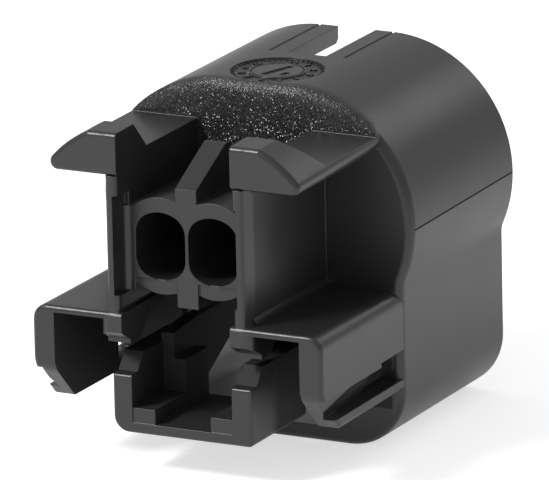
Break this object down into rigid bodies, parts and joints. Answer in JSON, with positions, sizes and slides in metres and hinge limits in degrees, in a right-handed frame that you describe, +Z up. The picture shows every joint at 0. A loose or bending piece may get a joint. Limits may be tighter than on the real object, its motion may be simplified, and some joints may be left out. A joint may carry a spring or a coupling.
{
  "type": "sensor connector plug",
  "caption": "Black moulded sensor plug with wire-seal bores, an oval sleeve with a keyway, side guards and an integral latch lever, with its interface seal and terminal lock.",
  "frame": {"origin": "middle of the length and width on the flat bottom of the sleeve's box", "axes": "+Y from the wire side to the mating side, +X to the right seen from the wire side, +Z up"},
  "size_m": [0.0298, 0.0354, 0.0314],
  "materials": {
    "housing": "moulded glass-filled polyester, fine spark-eroded grain",
    "seal": "self-lubricating silicone",
    "lock": "moulded polyester, plain"
  },
  "bodies": {
    "plug": {"housing": "housing", "interface_seal": "seal"},
    "lock": {"terminal_lock": "lock"}
  },
  "joints": [
    {"name": "terminal_lock_slide", "type": "slide", "parent": "plug", "child": "lock", "axis": [0, 1, 0], "range_m": [0, 0.0012]}
  ]
}
